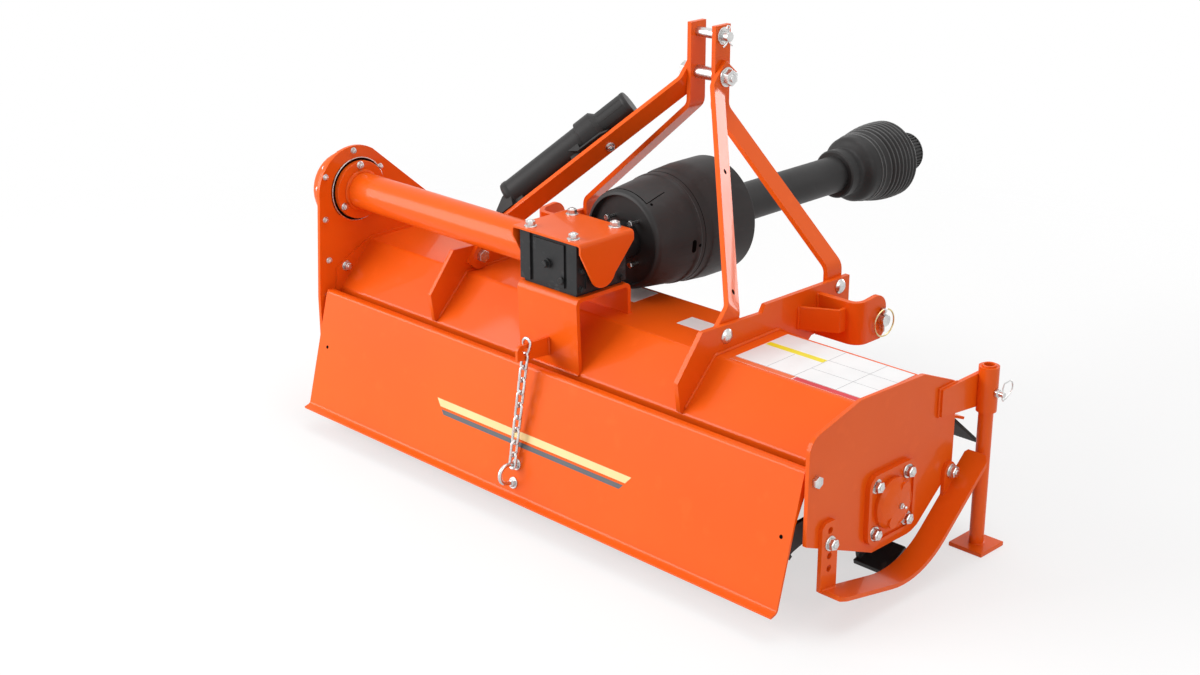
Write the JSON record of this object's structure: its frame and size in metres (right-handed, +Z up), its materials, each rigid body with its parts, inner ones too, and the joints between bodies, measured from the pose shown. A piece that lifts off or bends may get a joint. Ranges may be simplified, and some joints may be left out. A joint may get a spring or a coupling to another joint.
{
  "type": "rotary tiller",
  "caption": "Three-point rotary tiller: shaft-driven gearbox and side chain case turning a rotor of L-shaped tines under a deck, with hinged tailboard, skids and parking stand.",
  "frame": {"origin": "on the floor, under the middle of the machine's outline", "axes": "+X to the machine's right, +Y forward to the tractor, +Z up"},
  "size_m": [1.397, 1.2237, 0.855],
  "materials": {
    "orange_paint": "semi-gloss orange powder coat",
    "dark_casting": "dark grey painted casting",
    "black_plastic": "moulded black plastic",
    "black_rubber": "matt black rubber",
    "zinc_steel": "zinc-plated steel",
    "black_steel": "satin black paint"
  },
  "bodies": {
    "frame": {"deck": "orange_paint", "end_plate_right": "orange_paint", "side_plate_left": "orange_paint", "chain_case": "orange_paint", "drive_tube": "orange_paint", "gearbox": "dark_casting", "gearbox_guard": "orange_paint", "gearbox_saddle": "orange_paint", "clutch_shield": "black_plastic", "clutch_hub": "black_steel", "hitch_plate_right": "orange_paint", "hitch_plate_left": "orange_paint", "lower_clevis_right": "orange_paint", "lower_clevis_left": "orange_paint", "lower_pin_right": "zinc_steel", "lower_pin_left": "zinc_steel", "front_strut_right": "orange_paint", "front_strut_left": "orange_paint", "rear_brace_right": "orange_paint", "rear_brace_left": "orange_paint", "top_pin": "zinc_steel", "mast_bolts": "zinc_steel", "bearing_cap": "orange_paint", "front_deflector": "black_rubber", "hinge_bolts": "zinc_steel", "chain_tab": "orange_paint", "chain": "zinc_steel", "skid_right": "orange_paint", "skid_left": "orange_paint", "stand_bracket": "orange_paint", "stand_pin": "zinc_steel", "manual_canister": "black_plastic"},
    "rotor": {"rotor_shaft": "black_steel", "tines": "black_steel"},
    "tail": {"tailboard": "orange_paint", "chain_staple": "zinc_steel"},
    "cross": {"ujoint_cross": "zinc_steel"},
    "drive_rear": {"shaft_yoke": "black_steel", "guard_tube_inner": "black_plastic"},
    "drive_front": {"guard_tube_outer": "black_plastic", "guard_bell": "black_plastic"},
    "coupling": {"pto_coupling": "black_steel"},
    "stand": {"stand_leg": "orange_paint"}
  },
  "joints": [
    {"name": "rotor_spin", "type": "hinge", "parent": "frame", "child": "rotor", "pos_m": [-0.0025, -0.31415, 0.168], "axis": [-1, 0, 0], "continuous": true},
    {"name": "tailboard_swing", "type": "hinge", "parent": "frame", "child": "tail", "pos_m": [-0.0025, -0.51315, 0.27], "axis": [-1, 0, 0], "range_deg": [0, 60], "deforming": ["chain"]},
    {"name": "joint_yaw", "type": "hinge", "parent": "frame", "child": "cross", "pos_m": [-0.0115, -0.16415, 0.478], "axis": [0, 0, 1], "range_deg": [-15, 15]},
    {"name": "joint_pitch", "type": "hinge", "parent": "cross", "child": "drive_rear", "pos_m": [-0.0115, -0.16415, 0.478], "axis": [1, 0, 0], "range_deg": [-15, 15]},
    {"name": "driveline_slide", "type": "slide", "parent": "drive_rear", "child": "drive_front", "axis": [0, 1, 0], "range_m": [-0.02, 0.2]},
    {"name": "coupling_spin", "type": "hinge", "parent": "drive_front", "child": "coupling", "pos_m": [-0.0115, 0.58585, 0.478], "axis": [0, 1, 0], "continuous": true},
    {"name": "stand_slide", "type": "slide", "parent": "frame", "child": "stand", "axis": [0, 0, 1], "range_m": [0, 0.15]}
  ],
  "couplings": [
    {"joint": "coupling_spin", "follows": "rotor_spin", "ratio": 2.7}
  ]
}
